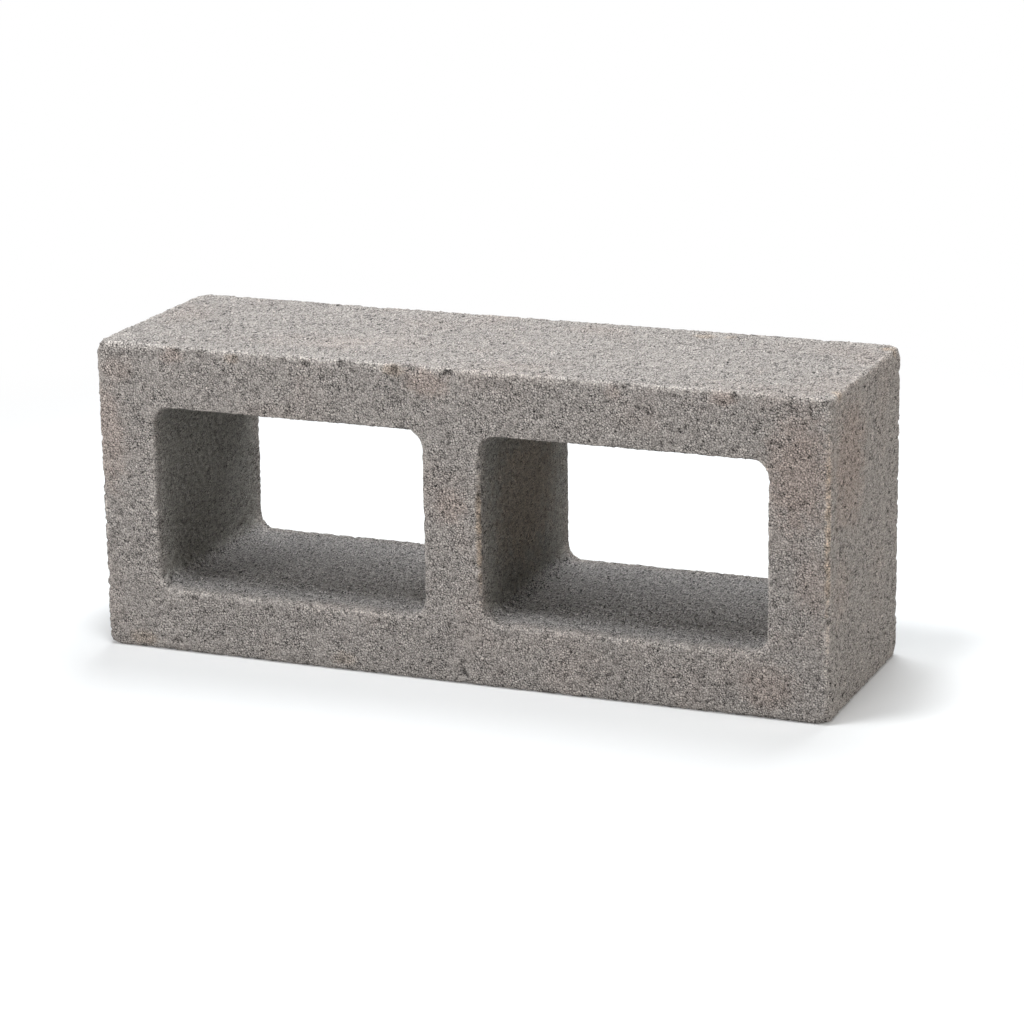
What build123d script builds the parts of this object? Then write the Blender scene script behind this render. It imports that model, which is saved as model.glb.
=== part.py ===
from build123d import *
import os
from math import atan, degrees

# Two-core hollow concrete block, lying on one of its long face shells.
# The block is one casting, drawn in millimetres as it lies on level ground.
# X runs along its length, and Z is up, across the two face shells.
# Y runs through the cores, and the front mouths are at -Y.
# The origin is the centre of the footprint, on the ground.
# In a wall the block is turned so that the cores stand upright, and the
# faces that hold the core mouths are bedded in mortar.

# Outside of the casting
block_length = 390.0
block_height = 162.0
block_depth = 120.0
arris_radius = 1.5

# Walls round the cores, measured at the front mouths
end_web = 31.0
middle_web = 31.0
bottom_shell = 33.0
top_shell = 33.0

# Cores: each one narrows towards the back, so that its former can be drawn out
core_count = 2
core_corner_radius = 9.0
core_draft = 1.0
mouth_radius = 1.0

# Sizes that follow from the walls
core_row_length = block_length - 2 * end_web
core_width = (core_row_length - (core_count - 1) * middle_web) / core_count
core_height = block_height - bottom_shell - top_shell
core_pitch = core_width + middle_web
core_centre_height = bottom_shell + core_height / 2
draft_angle = degrees(atan(core_draft / block_depth))

# The front face looks along -Y, and sketches on it are seen from outside:
# their x is the block's X, and their y is the height above the ground
front_face = Plane(origin=(0, -block_depth / 2, 0), x_dir=(1, 0, 0), z_dir=(0, -1, 0))

with BuildPart() as block:
    # The whole casting, with every arris worn round
    with BuildSketch(front_face) as outline:
        with Locations((0, block_height / 2)):
            Rectangle(block_length, block_height)
    extrude(amount=-block_depth)
    fillet(block.edges(), radius=arris_radius)

    # A row of drafted cores, cut from the front mouths right through
    with BuildSketch(front_face) as core_mouths:
        with Locations((0, core_centre_height)):
            with GridLocations(core_pitch, 0, core_count, 1):
                RectangleRounded(core_width, core_height, core_corner_radius)
    extrude(amount=-block_depth, taper=draft_angle, mode=Mode.SUBTRACT)

    # The mouths, eased at both faces
    bed_faces = block.faces().filter_by(Plane.XZ)
    mouth_wires = [wire for face in bed_faces for wire in face.inner_wires()]
    mouth_edges = [edge for wire in mouth_wires for edge in wire.edges()]
    fillet(mouth_edges, radius=mouth_radius)

block.part.label = "block"

os.makedirs("parts", exist_ok=True)
export_step(block.part, "parts/block.step")

print(f"block {block_length} x {block_depth} x {block_height} mm, volume {block.part.volume / 1e6:.3f} litres")
print(f"core mouths {core_width:.2f} x {core_height:.2f} mm, {core_pitch:.2f} mm apart")
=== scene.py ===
# %% [markdown]
# # A hollow concrete block
# The object is one casting of dry, open-textured concrete, with two cores running through it.
# Its shape is simple, so nearly all of its character is in the surface: grains of sand and crushed
# stone held by thin cement, pores between them, arrises that have crumbled, and warm earthy stains.
# The lesson builds that surface in three layers, from coarse to fine: a skin whose relief is real
# geometry, grains of stone scattered over it, and a material for all that is finer than a grain.

# %% [markdown]
# ## The frame
# The casting's exact shape comes from the imported CAD model. Everything here is in metres and in the
# same frame: +Z is up, X runs along the block, and the cores run along Y, with their mouths towards the
# viewer at -Y. The box of the model is kept, and its size is printed.

# %% Load the frame
import math

import bmesh
import bpy
from mathutils import Matrix, Vector


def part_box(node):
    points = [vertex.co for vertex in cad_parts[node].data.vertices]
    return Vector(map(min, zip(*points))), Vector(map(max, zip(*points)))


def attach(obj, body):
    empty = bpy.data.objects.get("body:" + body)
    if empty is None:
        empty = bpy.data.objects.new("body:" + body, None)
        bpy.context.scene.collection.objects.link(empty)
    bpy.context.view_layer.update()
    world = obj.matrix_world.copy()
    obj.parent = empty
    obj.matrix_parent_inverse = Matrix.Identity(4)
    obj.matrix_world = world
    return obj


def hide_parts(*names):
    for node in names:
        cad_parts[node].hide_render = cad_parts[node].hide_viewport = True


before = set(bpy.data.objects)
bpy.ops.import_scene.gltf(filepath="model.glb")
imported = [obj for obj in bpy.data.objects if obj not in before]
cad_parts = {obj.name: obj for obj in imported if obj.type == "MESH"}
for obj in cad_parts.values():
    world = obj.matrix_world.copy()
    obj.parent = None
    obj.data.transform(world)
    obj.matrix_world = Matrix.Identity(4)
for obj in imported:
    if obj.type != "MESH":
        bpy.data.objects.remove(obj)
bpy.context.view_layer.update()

MM = 0.001
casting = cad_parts["block"]
low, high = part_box("block")
size = high - low
print("block", [round(side / MM, 1) for side in size], "mm")

# %% [markdown]
# ## Writing node trees as sums
# A relief or a colour that follows a rule is easiest to read as arithmetic, such as
# `grains * 0.4 - pores`. Blender stores such a rule as a tree of nodes. The two small classes below
# turn Python's operators into Math nodes, for materials and for Geometry Nodes alike, so that each
# rule later in the lesson is written as the sum that it is.


# %% A socket that understands arithmetic
class Socket:
    """The output of a node. Arithmetic on it adds Math nodes to its tree."""

    def __init__(self, nodes, output):
        self.nodes = nodes
        self.output = output

    def math(self, operation, *operands):
        """One Math node, whose operands are sockets or numbers."""
        return self.nodes.add("ShaderNodeMath", {"operation": operation}, operands)

    def __add__(self, other):
        return self.math("ADD", self, other)

    def __radd__(self, other):
        return self.math("ADD", other, self)

    def __sub__(self, other):
        return self.math("SUBTRACT", self, other)

    def __rsub__(self, other):
        return self.math("SUBTRACT", other, self)

    def __mul__(self, other):
        return self.math("MULTIPLY", self, other)

    def __rmul__(self, other):
        return self.math("MULTIPLY", other, self)

    def __truediv__(self, other):
        return self.math("DIVIDE", self, other)

    def __rtruediv__(self, other):
        return self.math("DIVIDE", other, self)

    def absolute(self):
        """The value without its sign."""
        return self.math("ABSOLUTE", self)

    def above(self, threshold):
        """1 where the value is over the threshold, and 0 elsewhere."""
        return self.math("GREATER_THAN", self, threshold)

    def at_least(self, floor):
        """The value, or the floor where that is higher."""
        return self.math("MAXIMUM", self, floor)

    def step(self, start, end):
        """A smooth rise from 0 at start to 1 at end, or a fall if end is the lower one."""
        inputs = {"Value": self, "From Min": start, "From Max": end}
        return self.nodes.add("ShaderNodeMapRange", {"interpolation_type": "SMOOTHSTEP"}, inputs)


# %% A node tree that is written from Python
class Nodes:
    """A tree of nodes, in a material, in a world or in a Geometry Nodes group."""

    def __init__(self, tree):
        self.tree = tree

    def add(self, kind, settings=None, inputs=(), output=0):
        """Adds a node: its settings first, then its inputs by name or by number."""
        node = self.tree.nodes.new(kind)
        for name, value in (settings or {}).items():
            setattr(node, name, value)
        pairs = inputs.items() if isinstance(inputs, dict) else enumerate(inputs)
        for key, value in pairs:
            self.feed(self.find(node.inputs, key), value)
        if node.outputs:
            return Socket(self, self.find(node.outputs, output))

    def find(self, sockets, key):
        """The socket with that number, or the one in use with that name."""
        if isinstance(key, int):
            return sockets[key]
        return next(socket for socket in sockets if socket.name == key and socket.enabled)

    def feed(self, socket, value):
        """Links an output to a socket, or sets the socket's own value."""
        if isinstance(value, Socket):
            self.tree.links.new(value.output, socket)
        else:
            socket.default_value = value

    def noise(self, place, grain, detail=2.0, roughness=0.5):
        """Soft noise from 0 to 1, whose features are about one grain across."""
        inputs = {"Vector": place, "Scale": 1 / grain, "Detail": detail, "Roughness": roughness}
        return self.add("ShaderNodeTexNoise", {}, inputs)

    def cells(self, place, grain, feature="F1", output="Distance"):
        """Random cells, each about one grain across."""
        inputs = {"Vector": place, "Scale": 1 / grain}
        return self.add("ShaderNodeTexVoronoi", {"feature": feature}, inputs, output)

    def vector_math(self, operation, operands, output=0):
        """One Vector Math node."""
        return self.add("ShaderNodeVectorMath", {"operation": operation}, operands, output)

    def scaled(self, vector, factor):
        """A vector or a colour, times a number."""
        return self.vector_math("SCALE", {"Vector": vector, "Scale": factor})

    def split(self, vector, axis):
        """One component of a vector."""
        return self.add("ShaderNodeSeparateXYZ", {}, [vector], axis)

    def mixed(self, factor, under, over):
        """One colour laid over another."""
        inputs = {"Factor": factor, "A": under, "B": over}
        return self.add("ShaderNodeMix", {"data_type": "RGBA"}, inputs, "Result")

    def stored(self, name):
        """The number that a piece keeps under that name, as a material reads it."""
        return self.add("ShaderNodeAttribute", {"attribute_name": name}, (), "Fac")


# %% [markdown]
# ## The skin: an even net of small faces
# The skin of the casting is where a mould pressed damp concrete flat, so it follows the CAD shape
# closely. The CAD mesh has long triangles that no relief could bend. A voxel remesh of a merged copy
# gives an even net of small squares instead, closed all round, which the relief can then move.


# %% Making pieces and freezing them
def link_piece(name, mesh):
    """A new object for a mesh, at the origin."""
    piece = bpy.data.objects.new(name, mesh)
    bpy.context.scene.collection.objects.link(piece)
    return piece


def merged_copy(name, source):
    """A copy of a CAD node, with its loose triangles joined at their corners."""
    mesh = source.data.copy()
    shape = bmesh.new()
    shape.from_mesh(mesh)
    bmesh.ops.remove_doubles(shape, verts=shape.verts, dist=0.001 * MM)
    shape.to_mesh(mesh)
    shape.free()
    return link_piece(name, mesh)


def freeze(name, piece):
    """A plain mesh of a piece with its modifiers applied, as a new object. The old one goes."""
    graph = bpy.context.evaluated_depsgraph_get()
    mesh = bpy.data.meshes.new_from_object(piece.evaluated_get(graph))
    bpy.data.objects.remove(piece)
    frozen = link_piece(name, mesh)
    mesh.name = name
    return frozen


# %% Remesh the casting
skin_net = 1.2 * MM

skin = merged_copy("skin_net", casting)
remesh = skin.modifiers.new("even net", "REMESH")
remesh.mode = "VOXEL"
remesh.voxel_size = skin_net
skin = freeze("skin_net", skin)
print("net of", len(skin.data.vertices), "points")

# %% [markdown]
# ## A coat of Geometry Nodes
# Two of the layers are Geometry Nodes trees. Each tree has its sizes as named inputs, so that one
# tree can serve several coats. The helpers make an empty tree, put it on an object with its inputs
# set by their identifiers, keep a number on each point for a material to read, and hold points
# above the ground that the block lies on.


# %% Making a Geometry Nodes tree and putting it on a piece
def new_tree(name, numbers):
    """An empty tree that takes geometry and the named numbers, and its first sockets."""
    tree = bpy.data.node_groups.new(name, "GeometryNodeTree")
    tree.interface.new_socket("Geometry", in_out="INPUT", socket_type="NodeSocketGeometry")
    tree.interface.new_socket("Geometry", in_out="OUTPUT", socket_type="NodeSocketGeometry")
    for label in numbers:
        kind = "NodeSocketInt" if label == "Seed" else "NodeSocketFloat"
        tree.interface.new_socket(label, in_out="INPUT", socket_type=kind)
    nodes = Nodes(tree)
    group_input = tree.nodes.new("NodeGroupInput")
    sockets = {socket.name: Socket(nodes, socket) for socket in group_input.outputs if socket.name}
    return nodes, sockets


def add_coat(piece, tree, numbers):
    """Puts a tree on a piece, with its inputs set by their identifiers."""
    coat = piece.modifiers.new(tree.name, "NODES")
    coat.node_group = tree
    for item in tree.interface.items_tree:
        if item.in_out == "INPUT" and item.name in numbers:
            coat[item.identifier] = numbers[item.name]


def store_number(nodes, geometry, name, value):
    """Keeps a number on each point, under a name that a material can read."""
    settings = {"data_type": "FLOAT", "domain": "POINT"}
    inputs = {"Geometry": geometry, "Name": name, "Value": value}
    return nodes.add("GeometryNodeStoreNamedAttribute", settings, inputs)


def move_above_ground(nodes, geometry, place, least_height):
    """Moves each point to its new place, but none lower than the least height."""
    lifted = nodes.vector_math("MAXIMUM", [place, (-1.0, -1.0, least_height)])
    inputs = {"Geometry": geometry, "Position": lifted}
    return nodes.add("GeometryNodeSetPosition", {}, inputs)


# %% [markdown]
# ## Where the arrises are
# An arris is an outer edge of the block. Arrises and the rims of the core mouths crumble first, so
# the relief has to know how far each point of the skin is from one. In the CAD mesh they are the
# edges at which the surface bends outwards, which Geometry Nodes can pick out and measure from.

# %% Distance to the nearest arris
bend_of_arris = math.radians(3.0)


def distance_to_arris(nodes, shape):
    """How far each point is from the nearest edge at which the shape bends outwards."""
    info = nodes.add("GeometryNodeObjectInfo", {}, {"Object": shape}, "Geometry")
    bend = nodes.add("GeometryNodeInputMeshEdgeAngle", {}, (), "Signed Angle")
    flat = 1 - bend.above(bend_of_arris)
    settings = {"domain": "EDGE", "mode": "ALL"}
    inputs = {"Geometry": info, "Selection": flat}
    arrises = nodes.add("GeometryNodeDeleteGeometry", settings, inputs)
    inputs = {"Geometry": arrises}
    return nodes.add("GeometryNodeProximity", {"target_element": "EDGES"}, inputs, "Distance")


arris_guide = merged_copy("arris_guide", casting)
print("measuring from a guide of", len(arris_guide.data.edges), "edges")

# %% [markdown]
# ## The chips
# Blocks are stacked on pallets and knocked about, and lose small flakes along their arrises. Most
# chips are placed one by one, where the block has them. Those on the upright rims of the cores come
# in a row, as a former drawn out of damp concrete leaves them, and each outer corner is worn rounder
# than the arrises are. A chip could be cut out with a boolean, but as a dip in the relief its floor
# stays as rough as a real break.

# %% Chips in the arrises
# Each chip is (place along X, Y and Z in mm from the middle of the footprint, radius, depth)
half_x, half_y, top_z = [value / MM for value in (size.x / 2, size.y / 2, size.z)]
chips = [
    (-150, -half_y, top_z - 2, 3.0, 1.5),
    (-136, -half_y, top_z - 2, 3.0, 1.3),
    (-116, -half_y, top_z - 3, 2.6, 1.0),
    (-90, -half_y, top_z - 3, 3.0, 1.1),
    (-77, -half_y, top_z - 4, 2.6, 1.2),
    (-57, -half_y, top_z - 2, 3.4, 1.5),
    (-50, -half_y, top_z - 4, 2.6, 1.1),
    (-29, -half_y, top_z - 3, 3.6, 1.6),
    (-20, -half_y, top_z - 2, 2.8, 1.3),
    (0, -half_y, top_z - 2, 3.6, 1.5),
    (36, -half_y, top_z - 2, 2.8, 1.1),
    (66, -half_y, top_z - 3, 2.6, 1.0),
    (92, -half_y, top_z - 2, 3.0, 1.0),
    (148, -half_y, top_z - 2, 3.2, 1.0),
    (half_x, -half_y, 119, 2.8, 1.4),
    (half_x, -half_y, 112, 2.6, 1.3),
    (half_x, -half_y, 84, 3.4, 0.8),
    (half_x, -half_y, 52, 3.2, 0.9),
    (-half_x, -half_y, 88, 3.4, 1.0),
    (-half_x, -half_y, 38, 3.2, 0.8),
    (half_x, half_y, 94, 3.0, 0.9),
    (155, half_y, top_z, 3.2, 0.8),
    (-88, half_y, top_z, 4.5, 1.3),
    (70, half_y, 0, 5.0, 1.4),
    (-half_x, half_y, 120, 4.0, 1.3),
]
for core_side in (-164, 15):
    for z in (113, 101, 95, 86, 77, 61, 55, 46):
        chips.append((core_side, -half_y, z, 2.3, 0.9))
for end in (-half_x, half_x):
    for side in (-half_y, half_y):
        chips.append((end, side, top_z, 6.5, 1.3))
        chips.append((end, side, 0, 6.0, 1.2))
print(len(chips), "chips")

# %% The height taken out by the chips
chip_edge_size = 2.0 * MM
chip_edge_reach = 1.6 * MM
chip_floor_share = 0.3


def chipped_depth(nodes, place):
    """How deep the chips are at each point. Noise on the distance makes their edges ragged."""
    rough_edge = (nodes.noise(place, chip_edge_size) - 0.5) * chip_edge_reach
    chipped = 0
    for x, y, z, radius, depth in chips:
        spot = Vector((x, y, z)) * MM
        away = nodes.vector_math("DISTANCE", [place, spot], "Value") + rough_edge
        chipped = chipped + away.step(radius * MM, radius * MM * chip_floor_share) * (depth * MM)
    return chipped


# %% [markdown]
# ## The relief
# The height of the skin at each point is a sum: slow lumps where the mould was filled unevenly,
# rounded grains, hollows where a grain has dropped out, wear along the arrises, and the chips. Each
# term is noise or random cells of a real size. Grains are cells of a Voronoi pattern, and the cell's
# own random number says how far a grain stands out, or that it has dropped out. The tree also keeps
# two numbers on the skin for the material: "rim", near an arris, and "hollow", where stone is gone.

# %% The relief tree
relief_numbers = {
    "Lump size": 24 * MM,
    "Lump height": 0.5 * MM,
    "Grain size": 2.4 * MM,
    "Grain height": 0.40 * MM,
    "Pit depth": 0.70 * MM,
    "Wear width": 2.0 * MM,
    "Wear depth": 0.5 * MM,
    "Rim width": 2.2 * MM,
}
dome_steepness = 1.8
flattest_grain = 0.35
lost_grains = 0.13
crumb_size = 2.4 * MM
settled_share = 0.6
deep_chip = 1.5 * MM
least_height = 0.1 * MM


def relief_tree():
    """A tree that moves the points of the skin in and out."""
    nodes, given = new_tree("relief", relief_numbers)
    place = nodes.add("GeometryNodeInputPosition")
    outward = nodes.add("GeometryNodeInputNormal")

    by_lump = nodes.scaled(place, 1 / given["Lump size"])
    lumps = nodes.noise(by_lump, 1.0, detail=1.0)

    by_grain = nodes.scaled(place, 1 / given["Grain size"])
    middle = nodes.cells(by_grain, 1.0)
    chance = nodes.split(nodes.cells(by_grain, 1.0, output="Color"), "X")
    dome = (1 - middle * middle * dome_steepness).at_least(0)
    kept = chance.above(lost_grains)
    standing_out = flattest_grain + chance * (1 - flattest_grain)
    grains = dome * kept * standing_out * given["Grain height"]
    lost = dome * (1 - kept)
    pits = lost * given["Pit depth"]

    from_arris = distance_to_arris(nodes, arris_guide)
    near_arris = (from_arris / given["Wear width"]).step(1.0, 0.0)
    crumbling = nodes.noise(place, crumb_size, detail=2.0, roughness=0.6).step(0.42, 0.72)
    wear = near_arris * crumbling * given["Wear depth"]
    chipped = chipped_depth(nodes, place)

    height = (lumps - 0.5) * given["Lump height"] + grains - pits - wear - chipped
    settled = height - given["Grain height"] * settled_share
    moved = nodes.vector_math("ADD", [place, nodes.scaled(outward, settled)])
    relief = move_above_ground(nodes, given["Geometry"], moved, least_height)
    # The material reads this to pale the arrises, partly as wear and partly as a painted highlight
    relief = store_number(nodes, relief, "rim", (from_arris / given["Rim width"]).step(1.0, 0.0))
    # The material reads this to paint shade into lost grains and chips
    relief = store_number(nodes, relief, "hollow", lost + chipped / deep_chip)
    nodes.add("NodeGroupOutput", {}, {"Geometry": relief})
    return nodes.tree


# %% Carve the skin
skin_triangles = 190_000


def triangles(piece):
    """How many triangles a piece has."""
    return sum(len(face.vertices) - 2 for face in piece.data.polygons)


add_coat(skin, relief_tree(), relief_numbers)
skin = freeze("relief", skin)
thinner = skin.modifiers.new("thin out", "DECIMATE")
thinner.ratio = skin_triangles / triangles(skin)
skin = freeze("block_skin", skin)
skin.data.shade_smooth()
bpy.data.objects.remove(arris_guide)
print("skin of", triangles(skin), "triangles")

# %% [markdown]
# ## Grains of stone
# Pressed blocks show their sand and crushed stone, because there is only just enough cement to coat
# it. Grains are scattered over the skin by Geometry Nodes: points at random on its faces, and on
# each one a small angular stone, turned and squashed at random and sunk part of the way in. The same
# tree makes a coat of coarse stones and coats of fine sand, with other numbers. Each grain carries a
# random tone, stored as an attribute, that the material reads.

# %% The grain tree
grain_inputs = ["Density", "Smallest", "Largest", "Sunk", "Seed"]
random_draws = {"size": 1, "turn": 2, "squash": 3, "tone": 4}
least_squash = 0.65
most_squash = 1.25


def grain_tree(material):
    """A tree that turns a skin into the stones lying in it."""
    nodes, given = new_tree("grains", grain_inputs)
    settings = {"distribute_method": "RANDOM"}
    inputs = {"Mesh": given["Geometry"], "Density": given["Density"], "Seed": given["Seed"]}
    points = nodes.add("GeometryNodeDistributePointsOnFaces", settings, inputs, "Points")
    outward = Socket(nodes, points.output.node.outputs["Normal"])

    def chance(draw, lowest, highest, kind="FLOAT"):
        """A random value for each grain, from the tree's seed and the number of the draw."""
        inputs = {"Min": lowest, "Max": highest, "Seed": given["Seed"] + random_draws[draw]}
        return nodes.add("FunctionNodeRandomValue", {"data_type": kind}, inputs, "Value")

    pick = chance("size", 0.0, 1.0)
    across = given["Smallest"] + (given["Largest"] - given["Smallest"]) * pick * pick
    inwards = nodes.scaled(outward, across * given["Sunk"] * -1)
    points = nodes.add("GeometryNodeSetPosition", {}, {"Geometry": points, "Offset": inwards})
    points = store_number(nodes, points, "grain_tone", chance("tone", -1.0, 1.0))

    stone = nodes.add("GeometryNodeMeshIcoSphere", {}, {"Radius": 0.5, "Subdivisions": 1}, "Mesh")
    turn = chance("turn", (0.0, 0.0, 0.0), (math.tau, math.tau, math.tau), "FLOAT_VECTOR")
    squash = chance("squash", [least_squash] * 3, [most_squash] * 3, "FLOAT_VECTOR")
    stretch = nodes.scaled(squash, across)
    inputs = {"Points": points, "Instance": stone, "Rotation": turn, "Scale": stretch}
    stones = nodes.add("GeometryNodeInstanceOnPoints", {}, inputs)
    stones = nodes.add("GeometryNodeRealizeInstances", {}, {"Geometry": stones})
    place = nodes.add("GeometryNodeInputPosition")
    stones = move_above_ground(nodes, stones, place, 0.0)
    inputs = {"Geometry": stones, "Material": material}
    stones = nodes.add("GeometryNodeSetMaterial", {}, inputs)
    nodes.add("NodeGroupOutput", {}, {"Geometry": stones})
    return nodes.tree


# %% [markdown]
# ## The concrete
# One material serves the skin and the grains. It works on Object coordinates, so its pattern runs
# on from the skin to the grains without a seam. The colour is a warm grey multiplied by a sum of
# small differences, and the next cells each give one part of it as a function of the place. Inside
# the cores the cement is cooler and smoother, so the first function says where they are.

# %% Inside the cores
core_fade = {"X": (185 * MM, 170 * MM), "Y": (60 * MM, 46 * MM), "Z": (70 * MM, 52 * MM)}


def inside_the_cores(nodes, place):
    """1 well inside the block, where only the cores' walls are seen, and 0 on its outer faces."""
    in_cores = 1
    from_middle = nodes.vector_math("SUBTRACT", [place, (0.0, 0.0, size.z / 2)])
    for axis, (outside, inside) in core_fade.items():
        in_cores = nodes.split(from_middle, axis).absolute().step(outside, inside) * in_cores
    return in_cores


# %% [markdown]
# ## Sand, seen from close by
# The finest pattern is painted light and shade on the sides of the sand grains, and the dark gaps between
# its grains. The painted light and shade is the difference between one noise and the same noise a part of
# a grain to the side, always the same side, which leaves short strokes of light and dark with no patches,
# as on grains lit from one side. The gaps are the borders of random cells. Both are drawn out a little
# along the cores, as the mould was drawn, and some places are more open than others. Inside the cores the
# pattern is weaker on the walls and stronger on the floors, where the extra strength is painted shade of
# the floors' relief under grazing light.

# %% The pattern of the sand
drawn_out = 0.6
sand_size = 0.85 * MM
side_step = sand_size * 0.3
emboss_shade_strength = 1.5
gap_spacing = 1.2 * MM
gap_width = 0.15
gap_strength = 0.95
gap_share = 0.4
open_patch_size = 7 * MM
core_floor_shade_gain = 0.5
core_wall_loss = 0.3


def pattern_of_sand(nodes, place, drawn, in_cores, faces_up):
    """Painted light and shade on the sides of the sand grains, and the dark gaps between them, about zero
    on average.
    """
    beside = nodes.vector_math("ADD", [drawn, (side_step, -side_step, side_step)])
    here = nodes.noise(drawn, sand_size, detail=0.0)
    there = nodes.noise(beside, sand_size, detail=0.0)
    gaps = nodes.cells(drawn, gap_spacing, feature="DISTANCE_TO_EDGE").step(gap_width, 0.0)
    openness = nodes.noise(place, open_patch_size, detail=1.0).step(0.35, 0.65) * 0.4 + 0.8
    # On the floors of the cores the pattern is made stronger as painted shade of their relief under
    # grazing light
    openness = openness * (1 + in_cores * (faces_up * core_floor_shade_gain - core_wall_loss))
    # The first term is painted light and shade on the grains' sides, as if lit from one fixed direction
    return ((here - there) * emboss_shade_strength - (gaps - gap_share) * gap_strength) * openness


# %% [markdown]
# ## Light and dark
# Over the sand lie cloudy patches of cement, a random tone for each stone, and, just under the top arris,
# the upright marks of the mould. Arrises and rims are paler, partly where they are rubbed and partly as a
# painted highlight where an arris catches the light, except near the ground. Hollows and chips are darker
# with painted shade. The relief has stored where the rims and hollows are.

# %% How light the concrete is
mean_lightness = 1.05
least_lightness = 0.12
patch_size = 42 * MM
patch_strength = 0.18
mottling_strength = 0.7
mottling_lost_in_cores = 0.2
tone_strength = 0.2
drag_mark_size = 1.8 * MM
drag_mark_squeeze = 0.22
drag_mark_strength = 0.5
rim_paling_strength = 0.5
hollow_strength = 0.5
hollow_lost_in_cores = 0.25


def light_and_dark(nodes, place, in_cores, mottling, sand):
    """The number that the concrete's colour is multiplied by."""
    patches = nodes.noise(place, patch_size, detail=3.0) - 0.5
    upright = nodes.vector_math("MULTIPLY", [place, (1.0, 1.0, drag_mark_squeeze)])
    drag_marks = nodes.noise(upright, drag_mark_size, detail=1.0) - 0.5
    dragged = nodes.split(place, "Z").step(size.z - 14 * MM, size.z - 4 * MM)
    off_the_ground = nodes.split(place, "Z").step(4 * MM, 16 * MM)
    # Near arrises and rims the colour is paler: partly wear, partly a painted highlight
    rim_patches = nodes.noise(place, crumb_size, detail=1.0).step(0.38, 0.62) * rim_paling_strength
    rim_wear_and_highlight = nodes.stored("rim") * rim_patches * off_the_ground
    # Pits and chips are darkened here: painted shade
    hollow_shade = nodes.stored("hollow") * (hollow_strength - in_cores * hollow_lost_in_cores)
    shade = mottling * (mottling_strength - in_cores * mottling_lost_in_cores) + sand
    shade = shade + nodes.stored("grain_tone") * tone_strength
    shade = shade + drag_marks * dragged * drag_mark_strength
    lightness = mean_lightness + patches * patch_strength + shade + rim_wear_and_highlight - hollow_shade
    return lightness.at_least(least_lightness)


# %% [markdown]
# ## Earth on the cement
# Blocks that have stood in a yard take up warm earth. Two kinds show here, a pink one in soft
# patches and a tan one along worn edges. Each stain is a spot on the block with a ragged border, and
# where spots overlap the stronger one counts.

# %% Stains
# Each stain is (X, Y, Z in mm, radius in mm, times as tall as wide, strength)
pink_stains = [
    (-191, -60, 112, 15, 2.8, 0.75),
    (-184, -60, 148, 13, 0.8, 0.55),
    (-152, -60, 157, 9, 0.7, 0.75),
    (-12, -60, 154, 17, 0.6, 0.90),
    (85, -60, 157, 7, 0.7, 0.50),
    (0, -60, 92, 13, 1.0, 0.80),
    (142, -60, 158, 9, 0.6, 0.85),
    (180, -60, 124, 24, 1.7, 1.00),
    (186, -60, 70, 13, 1.6, 0.60),
    (165, -60, 16, 20, 0.8, 0.75),
    (195, -28, 122, 36, 1.2, 1.00),
    (195, -40, 62, 20, 1.2, 0.50),
]
tan_stains = [
    (-174, -60, 5, 12, 0.5, 0.50),
    (-60, -60, 6, 10, 0.5, 0.35),
    (-118, -60, 158, 5, 0.7, 0.45),
    (-30, -60, 159, 8, 0.6, 0.55),
    (15.5, -60, 80, 3.4, 12.0, 1.00),
    (15.5, 0, 85, 55, 1.0, 0.60),
    (195, -60, 92, 3.4, 20.0, 0.80),
    (195, -46, 161, 6, 0.8, 0.60),
    (96, 47, 162, 8, 1.0, 0.60),
    (109, 49, 162, 5, 1.0, 0.45),
    (191, 50, 161, 6, 1.0, 0.90),
]
stain_core_share = 0.3
ragged_size = 6 * MM


def stained(nodes, place, ragged, stains):
    """How strongly the place is stained by any spot of a list."""
    most = 0
    for x, y, z, radius, taller, strength in stains:
        apart = nodes.vector_math("SUBTRACT", [place, Vector((x, y, z)) * MM])
        apart = nodes.vector_math("MULTIPLY", [apart, (1.0, 1.0, 1 / taller)])
        share = nodes.vector_math("LENGTH", [apart], "Value") / (radius * MM) + ragged
        spot = share.step(1.0, stain_core_share) * strength
        most = spot.at_least(most)
    return most


print(len(pink_stains), "pink stains and", len(tan_stains), "tan ones")

# %% The colours of the concrete
cement_grey = (0.371, 0.340, 0.317, 1.0)
earth_pink = (0.392, 0.330, 0.296, 1.0)
earth_tan = (0.410, 0.333, 0.267, 1.0)
core_wall_grey = (0.357, 0.341, 0.313, 1.0)
core_floor_grey = (0.362, 0.342, 0.330, 1.0)
cloud_size = 50 * MM
cloud_strength = 0.35


def cement_and_earth(nodes, place, in_cores, faces_up):
    """The colour, before light and dark: cement with a faint pink cloud, and stains over it."""
    ragged = nodes.noise(place, ragged_size, detail=3.0) - 0.5
    clouds = nodes.noise(place, cloud_size, detail=3.0, roughness=0.6)
    faint_pink = clouds.step(0.48, 0.72) * cloud_strength
    outside = nodes.mixed(faint_pink, cement_grey, earth_pink)
    in_a_core = nodes.mixed(faces_up, core_wall_grey, core_floor_grey)
    colour = nodes.mixed(in_cores, outside, in_a_core)
    colour = nodes.mixed(stained(nodes, place, ragged, pink_stains), colour, earth_pink)
    return nodes.mixed(stained(nodes, place, ragged, tan_stains), colour, earth_tan)


# %% [markdown]
# ## The material as a whole
# The parts come together here. The pattern that makes the concrete lighter and darker is also taken as a
# height, which roughens the surface below the size of a grain, so that its low places are also its dark
# ones: partly the cement's own mottling and partly painted shade in the low places. Dry concrete is dull,
# so the roughness is near its highest and the sheen is low.

# %% The material
mottling_size = 2.6 * MM
sand_in_bump = 0.25
bump_height = 1.6 * MM
dullness = 0.95
sheen = 0.25


def empty_nodes(owner):
    """Gives a material or a world an empty tree of nodes."""
    owner.use_nodes = True
    owner.node_tree.nodes.clear()
    return Nodes(owner.node_tree)


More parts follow.
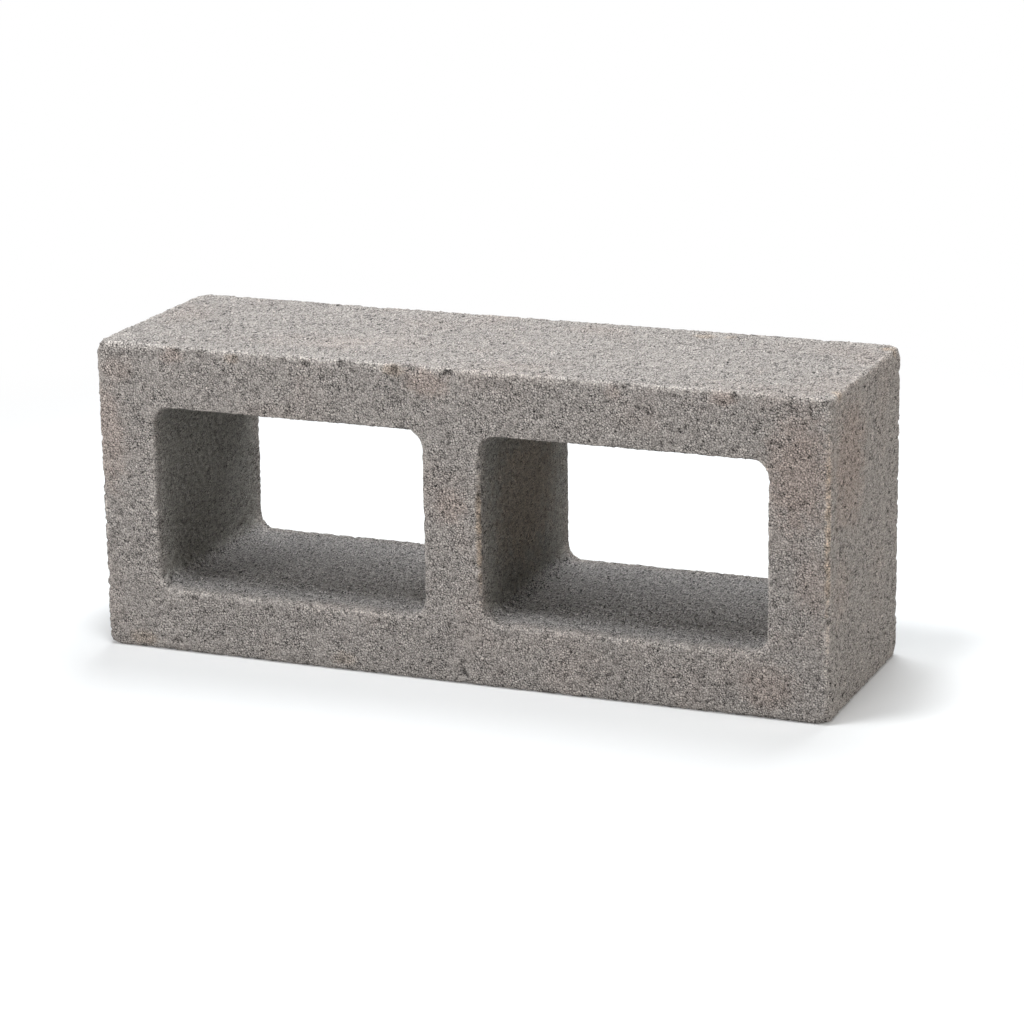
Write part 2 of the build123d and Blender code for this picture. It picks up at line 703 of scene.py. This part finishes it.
def concrete():
    """Open-textured grey concrete."""
    material = bpy.data.materials.new("concrete")
    nodes = empty_nodes(material)
    place = nodes.add("ShaderNodeTexCoord", {}, (), "Object")
    facing = nodes.add("ShaderNodeNewGeometry", {}, (), "Normal")
    faces_up = nodes.split(facing, "Z").step(0.3, 0.8)
    in_cores = inside_the_cores(nodes, place)

    drawn = nodes.vector_math("MULTIPLY", [place, (1.0, drawn_out, 1.0)])
    mottling = nodes.noise(drawn, mottling_size, detail=0.0) - 0.5
    sand = pattern_of_sand(nodes, place, drawn, in_cores, faces_up)
    lightness = light_and_dark(nodes, place, in_cores, mottling, sand)
    colour = cement_and_earth(nodes, place, in_cores, faces_up)
    colour = nodes.scaled(colour, lightness)

    # What is low in this height is dark in the colour, partly as painted shade
    inputs = {"Height": mottling + sand * sand_in_bump, "Strength": 1.0, "Distance": bump_height}
    normal = nodes.add("ShaderNodeBump", {}, inputs)
    inputs = {"Base Color": colour, "Roughness": dullness, "Specular IOR Level": sheen, "Normal": normal}
    surface = nodes.add("ShaderNodeBsdfPrincipled", {}, inputs)
    nodes.add("ShaderNodeOutputMaterial", {}, {"Surface": surface})
    return material


concrete_material = concrete()
skin.data.materials.clear()
skin.data.materials.append(concrete_material)
print("concrete of", len(concrete_material.node_tree.nodes), "nodes")

# %% [markdown]
# ## Coats of grains
# Sand and crushed stone come in all sizes, with more small grains than large ones. Four coats of the
# one grain tree give that: coarse stones that lie deep, middle ones, and two coats of sand that stand
# out more. The sand is split in two so that no piece grows too heavy to handle.

# %% Scatter the grains
# Sizes in mm, and the share of its width by which a grain's middle is sunk
grain_coats = {
    "coarse_grains": {"count": 9_000, "Smallest": 1.6, "Largest": 2.6, "Sunk": 0.42, "Seed": 11},
    "middle_grains": {"count": 9_500, "Smallest": 1.1, "Largest": 1.8, "Sunk": 0.36, "Seed": 23},
    "sand_grains_a": {"count": 9_500, "Smallest": 0.8, "Largest": 1.3, "Sunk": 0.26, "Seed": 37},
    "sand_grains_b": {"count": 9_500, "Smallest": 0.8, "Largest": 1.3, "Sunk": 0.26, "Seed": 53},
}
skin_area = sum(face.area for face in skin.data.polygons)
grain_nodes = grain_tree(concrete_material)
grains = []
for name, coat in grain_coats.items():
    bed = link_piece(name + "_bed", skin.data.copy())
    numbers = {
        "Density": coat["count"] / skin_area,
        "Smallest": coat["Smallest"] * MM,
        "Largest": coat["Largest"] * MM,
        "Sunk": coat["Sunk"],
        "Seed": coat["Seed"],
    }
    add_coat(bed, grain_nodes, numbers)
    layer = freeze(name, bed)
    grains.append(layer)
    print(name, "of", triangles(layer), "triangles")

# %% [markdown]
# ## Riding on the frame
# The skin stands for the CAD casting, and the grains lie in it. They all belong to the one body,
# because the block has no moving part.

for piece in [skin, *grains]:
    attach(piece, "root")
    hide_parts("block")

# %% [markdown]
# ## Studio
# The block lay on a white sweep in soft light. The floor near the block is a white sheet that takes
# the block's shadow, and further out it turns into plain white, so that no horizon shows. Only the
# camera sees that white: to all other rays the floor is a plain grey, so that it throws no more
# light up at the block than the real one did.

# %% Floor
floor_reach = 6.0
shadow_reach = 0.36
least_white = 0.08
white = (1.0, 1.0, 1.0, 1.0)
bounce_grey = (0.42, 0.42, 0.42, 1.0)


def floor_material():
    """White to the camera, and mid grey to the light that bounces off it."""
    material = bpy.data.materials.new("studio_floor")
    nodes = empty_nodes(material)
    place = nodes.add("ShaderNodeTexCoord", {}, (), "Object")
    away = nodes.vector_math("LENGTH", [place], "Value")
    far = away.step(shadow_reach, shadow_reach * 2).at_least(least_white)
    seen = nodes.add("ShaderNodeLightPath", {}, (), "Is Camera Ray")
    sheet = nodes.add("ShaderNodeBsdfDiffuse", {}, {"Color": white})
    plain_white = nodes.add("ShaderNodeEmission", {}, {"Color": white})
    grey = nodes.add("ShaderNodeBsdfDiffuse", {}, {"Color": bounce_grey})
    sweep = nodes.add("ShaderNodeMixShader", {}, [far, sheet, plain_white])
    surface = nodes.add("ShaderNodeMixShader", {}, [seen, grey, sweep])
    nodes.add("ShaderNodeOutputMaterial", {}, {"Surface": surface})
    return material


corners = [(x * floor_reach, y * floor_reach, 0.0) for x, y in ((-1, -1), (1, -1), (1, 1), (-1, 1))]
floor_mesh = bpy.data.meshes.new("studio_floor")
floor_mesh.from_pydata(corners, [], [(0, 1, 2, 3)])
floor_mesh.materials.append(floor_material())
floor = link_piece("studio_floor", floor_mesh)
print("floor of", floor_reach * 2, "metres across")

# %% [markdown]
# ## Lamps
# The top of the block is the lightest face, and the front and end are darker and about alike. So the
# main softbox stands high and behind, with a small spot above the front to make the shadow's edge,
# and three weak softboxes fill the front and the two ends. The light from above is a little cool and
# the light on the end a little warm.

# %% Lamps
# Each lamp is a round softbox: its name, azimuth and elevation in degrees, distance and width in
# metres, level and colour. At a level of 1, a surface that faces the lamp shows its colour as written
lit_point = Vector((0.0, 0.0, size.z / 2))
cool_white = (0.965, 1.0, 1.025)
warm_white = (1.015, 1.0, 0.966)
pure_white = (1.0, 1.0, 1.0)
lamps = [
    ("back_softbox", 183, 63, 1.0, 0.80, 0.92, cool_white),
    ("top_front_spot", 350, 76, 1.0, 0.25, 0.49, cool_white),
    ("right_softbox", 90, 10, 1.4, 0.70, 0.425, warm_white),
    ("front_softbox", 0, 20, 1.4, 0.70, 0.375, pure_white),
    ("left_softbox", 315, 20, 1.4, 0.70, 0.345, pure_white),
]


def direction_to(azimuth, elevation):
    """The direction of a lamp or camera that stands at that angle. Azimuth 0 is in front, at -Y."""
    around, above = math.radians(azimuth), math.radians(elevation)
    level_part = math.cos(above)
    return Vector((math.sin(around) * level_part, -math.cos(around) * level_part, math.sin(above)))


for name, azimuth, elevation, away, across, level, tint in lamps:
    light = bpy.data.lights.new(name, "AREA")
    light.shape = "DISK"
    light.size = across
    light.color = tint
    light.energy = level * (math.pi * away) ** 2
    outwards = direction_to(azimuth, elevation)
    lamp = bpy.data.objects.new(name, light)
    lamp.location = lit_point + outwards * away
    lamp.rotation_euler = outwards.to_track_quat("Z", "Y").to_euler()
    lamp.visible_camera = False
    bpy.context.scene.collection.objects.link(lamp)
    print(name, "of", round(light.energy, 2), "watts")

# %% [markdown]
# ## Backdrop
# Behind the block is the same plain white as far out on the floor. It is white to the camera alone
# and gives no light, so that the lamps do all the lighting.

# %% Backdrop
world = bpy.data.worlds.new("studio_backdrop")
sky = empty_nodes(world)
seen_by_camera = sky.add("ShaderNodeLightPath", {}, (), "Is Camera Ray")
background = sky.add("ShaderNodeBackground", {}, {"Color": white, "Strength": seen_by_camera})
sky.add("ShaderNodeOutputWorld", {}, {"Surface": background})
bpy.context.scene.world = world

# %% [markdown]
# ## Camera
# The camera stands to the right of the block and looks slightly down on it, through a long lens,
# and is rolled by just under a degree, as the photographer's was.

# %% The camera
view_azimuth = 22.24
view_elevation = 15.83
view_roll = math.radians(-0.88)
view_distance = 1.7230
view_target = Vector((0.0327, low.y, 0.0923))
sensor_mm = 36.0
lens_mm = 123.45

backwards = direction_to(view_azimuth, view_elevation)
camera_data = bpy.data.cameras.new("camera")
camera_data.sensor_width = sensor_mm
camera_data.lens = lens_mm
camera_data.clip_end = 100.0
camera = bpy.data.objects.new("camera", camera_data)
level_turn = (-backwards).to_track_quat("-Z", "Y").to_matrix().to_4x4()
roll_turn = Matrix.Rotation(view_roll, 4, "Z")
camera.matrix_world = Matrix.Translation(view_target + backwards * view_distance) @ level_turn @ roll_turn
bpy.context.scene.collection.objects.link(camera)
bpy.context.scene.camera = camera
bpy.context.scene.view_settings.view_transform = "Standard"
print("camera at", [round(value, 3) for value in camera.matrix_world.translation])
